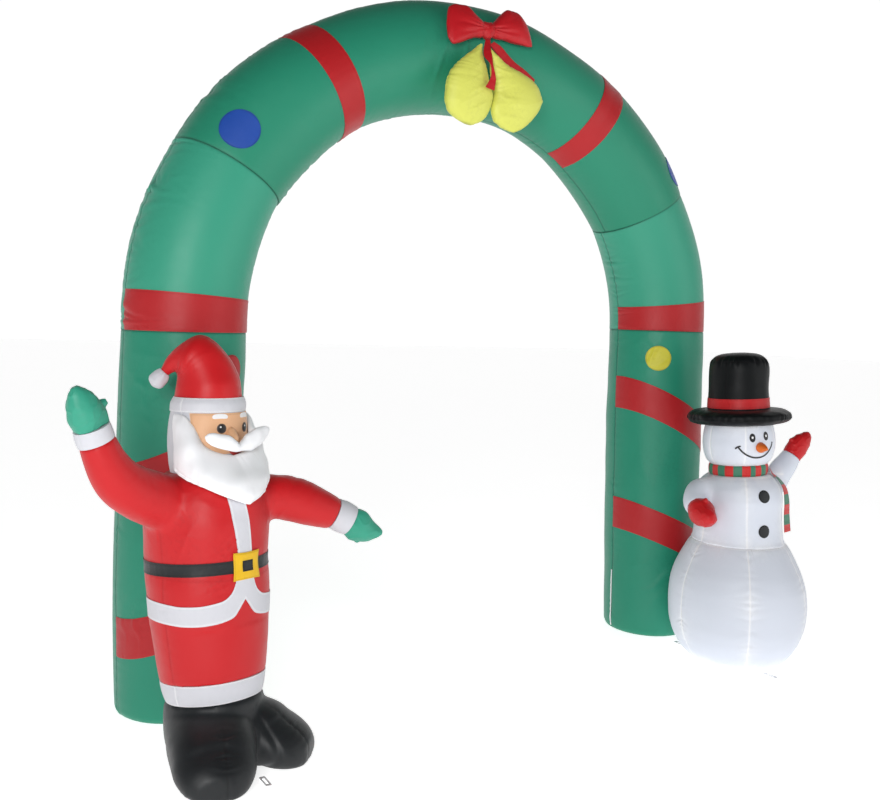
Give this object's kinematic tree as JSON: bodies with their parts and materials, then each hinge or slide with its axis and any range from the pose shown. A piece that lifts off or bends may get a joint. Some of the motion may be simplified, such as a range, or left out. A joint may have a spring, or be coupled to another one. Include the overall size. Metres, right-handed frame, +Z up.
{
  "type": "inflatable arch",
  "caption": "Inflatable green Christmas arch with red bands, a bow and bells, a Father Christmas figure at one leg and a snowman at the other.",
  "frame": {"origin": "on the floor, at the middle of the whole footprint, arch and figures together", "axes": "+X from the leg with Father Christmas to the leg with the snowman, -Y to the front where the figures stand, +Z up"},
  "size_m": [2.7882, 0.926, 2.4071],
  "materials": {
    "green_cloth": "satin coated nylon",
    "red_cloth": "satin coated nylon",
    "bright_red_cloth": "satin coated nylon",
    "white_cloth": "satin coated nylon",
    "black_cloth": "satin coated nylon",
    "blue_cloth": "satin coated nylon",
    "yellow_cloth": "satin coated nylon",
    "bell_cloth": "satin coated nylon",
    "gold_cloth": "satin coated nylon",
    "skin_cloth": "satin coated nylon",
    "orange_cloth": "satin coated nylon",
    "mitten_green_cloth": "satin coated nylon"
  },
  "bodies": {
    "root": {"leg_left": "green_cloth", "leg_right": "green_cloth", "haunch_left": "green_cloth", "haunch_right": "green_cloth", "crown": "green_cloth", "band_spring_left": "red_cloth", "band_spring_right": "red_cloth", "band_leg_left_upper": "red_cloth", "band_leg_left_lower": "red_cloth", "band_leg_right_upper": "red_cloth", "band_leg_right_lower": "red_cloth", "band_crown_left": "red_cloth", "band_crown_right": "red_cloth", "dot_blue_left": "blue_cloth", "dot_blue_right": "blue_cloth", "dot_yellow": "yellow_cloth", "dot_red": "red_cloth", "zip_strip": "white_cloth", "bow": "red_cloth", "ribbon_left": "red_cloth", "ribbon_right": "red_cloth", "bell_left": "bell_cloth", "bell_right": "bell_cloth", "santa_boots": "black_cloth", "santa_trouser_trim": "white_cloth", "santa_trousers": "bright_red_cloth", "santa_coat": "bright_red_cloth", "santa_coat_trim": "white_cloth", "santa_placket": "white_cloth", "santa_belt": "black_cloth", "santa_buckle": "gold_cloth", "santa_arm_raised": "bright_red_cloth", "santa_cuff_raised": "white_cloth", "santa_mitten_raised": "mitten_green_cloth", "santa_arm_low": "bright_red_cloth", "santa_cuff_low": "white_cloth", "santa_mitten_low": "mitten_green_cloth", "santa_head": "white_cloth", "santa_face": "skin_cloth", "santa_beard": "white_cloth", "santa_moustache": "white_cloth", "santa_hat_band": "white_cloth", "santa_hat": "bright_red_cloth", "santa_pompom": "white_cloth", "snowman_base": "white_cloth", "snowman_torso": "white_cloth", "snowman_head": "white_cloth", "snowman_nose": "orange_cloth", "snowman_arm_near": "white_cloth", "snowman_mitten_near": "bright_red_cloth", "snowman_arm_far": "white_cloth", "snowman_mitten_far": "bright_red_cloth", "snowman_scarf": "bright_red_cloth", "snowman_scarf_tail": "bright_red_cloth", "snowman_brim": "black_cloth", "snowman_crown": "black_cloth", "snowman_hat_ribbon": "bright_red_cloth", "tie_santa": "white_cloth", "tie_snowman_side": "white_cloth", "tie_snowman_front": "white_cloth"}
  },
  "joints": []
}
